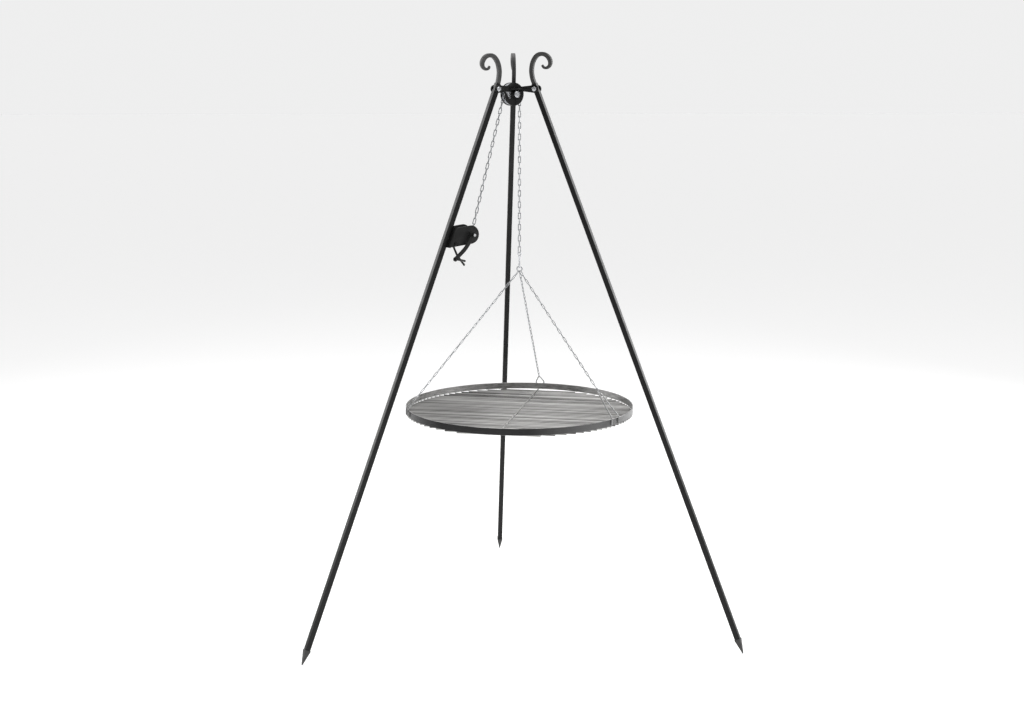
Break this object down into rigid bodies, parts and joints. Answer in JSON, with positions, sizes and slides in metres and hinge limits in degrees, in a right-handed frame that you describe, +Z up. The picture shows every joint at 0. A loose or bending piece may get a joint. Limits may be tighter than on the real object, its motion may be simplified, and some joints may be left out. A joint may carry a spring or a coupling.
{
  "type": "campfire tripod grate",
  "caption": "Black steel tripod with scrolled leg tops, a chain winch and pulley, and a round steel grate hung on three chains.",
  "frame": {"origin": "on the ground, at the middle of the rectangle round the three feet", "axes": "+Z up, +Y towards the rear leg, +X to the right seen from the front, where the winch leg is on the left"},
  "size_m": [1.3354, 1.1584, 1.8019],
  "materials": {
    "black_steel": "satin black paint",
    "black_sheet": "satin black powder coat on bent sheet",
    "zinc_hardware": "bright zinc plate",
    "zinc_chain": "bright zinc plated welded chain",
    "grate_steel": "bare steel with a drawn grain"
  },
  "bodies": {
    "hub": {"hub": "black_steel", "pulley_axle": "zinc_hardware", "pulley_axle_nut": "zinc_hardware", "pivot_bolt_left": "zinc_hardware", "pivot_bolt_right": "zinc_hardware", "pivot_bolt_rear": "zinc_hardware", "pivot_nut_left": "zinc_hardware", "pivot_nut_right": "zinc_hardware", "pivot_nut_rear": "zinc_hardware", "chain_over_pulley": "zinc_chain", "chain_run": "zinc_chain"},
    "leg_left": {"leg_tube_left": "black_steel", "leg_scroll_left": "black_steel", "foot_spike_left": "black_steel", "winch_housing": "black_sheet", "winch_bolt_upper": "zinc_hardware", "winch_bolt_lower": "zinc_hardware", "catch_pin": "zinc_hardware"},
    "leg_right": {"leg_tube_right": "black_steel", "leg_scroll_right": "black_steel", "foot_spike_right": "black_steel"},
    "leg_rear": {"leg_tube_rear": "black_steel", "leg_scroll_rear": "black_steel", "foot_spike_rear": "black_steel"},
    "pulley": {"pulley": "zinc_hardware"},
    "crank": {"winch_drum": "black_steel", "drum_chain": "zinc_chain", "winch_axle": "zinc_hardware", "crank_arm": "black_sheet", "crank_nut": "zinc_hardware", "crank_handle": "black_steel"},
    "crank_catch": {"crank_catch": "black_steel"},
    "fall": {"chain_fall": "zinc_chain"},
    "swivel": {"swivel_eye": "zinc_hardware"},
    "grate": {"snap_hook": "zinc_hardware", "hanger_ring": "zinc_chain", "hanger_chain_left": "zinc_chain", "hanger_chain_right": "zinc_chain", "hanger_chain_rear": "zinc_chain", "bail_left": "grate_steel", "bail_right": "grate_steel", "bail_rear": "grate_steel", "grate_rim": "grate_steel", "grate_rods": "grate_steel"},
    "snap_gate": {"snap_gate": "zinc_hardware"}
  },
  "joints": [
    {"name": "leg_left_spread", "type": "hinge", "parent": "hub", "child": "leg_left", "pos_m": [-0.06149, -0.22775, 1.69], "axis": [-0.5, 0.866, 0], "range_deg": [-4, 0], "deforming": ["chain_run"]},
    {"name": "leg_right_spread", "type": "hinge", "parent": "hub", "child": "leg_right", "pos_m": [0.06149, -0.22775, 1.69], "axis": [-0.5, -0.866, 0], "range_deg": [-4, 0]},
    {"name": "leg_rear_spread", "type": "hinge", "parent": "hub", "child": "leg_rear", "pos_m": [0, -0.12125, 1.69], "axis": [1, 0, 0], "range_deg": [-4, 0]},
    {"name": "chain_swing", "type": "hinge", "parent": "hub", "child": "fall", "pos_m": [0.01386, -0.18425, 1.674], "axis": [0.5, -0.866, 0], "range_deg": [-3, 3]},
    {"name": "grate_lift", "type": "slide", "parent": "fall", "child": "swivel", "axis": [0, 0, 1], "range_m": [-0.25, 0.15], "deforming": ["chain_fall"]},
    {"name": "pulley_turn", "type": "hinge", "parent": "hub", "child": "pulley", "pos_m": [-0.01039, -0.19825, 1.674], "axis": [0.5, -0.866, 0], "range_deg": [-520, 312]},
    {"name": "crank_turn", "type": "hinge", "parent": "leg_left", "child": "crank", "pos_m": [-0.15429, -0.28133, 1.25453], "axis": [0.5, -0.866, 0], "range_deg": [-550, 910]},
    {"name": "grate_swivel", "type": "hinge", "parent": "swivel", "child": "grate", "pos_m": [0.01386, -0.18425, 1.1741], "axis": [0, 0, 1], "continuous": true},
    {"name": "snap_gate_open", "type": "hinge", "parent": "grate", "child": "snap_gate", "pos_m": [0.01386, -0.19325, 1.1616], "axis": [1, 0, 0], "range_deg": [0, 28], "stiffness_Nm_per_rad": 0.003, "springref_deg": -11.46},
    {"name": "catch_swing", "type": "hinge", "parent": "leg_left", "child": "crank_catch", "pos_m": [-0.20264, -0.30924, 1.2291], "axis": [0.5, -0.866, 0], "range_deg": [-20, 20]}
  ],
  "couplings": [
    {"joint": "pulley_turn", "follows": "grate_lift", "rad_per_m": 35.714},
    {"joint": "crank_turn", "follows": "grate_lift", "rad_per_m": -62.5}
  ]
}
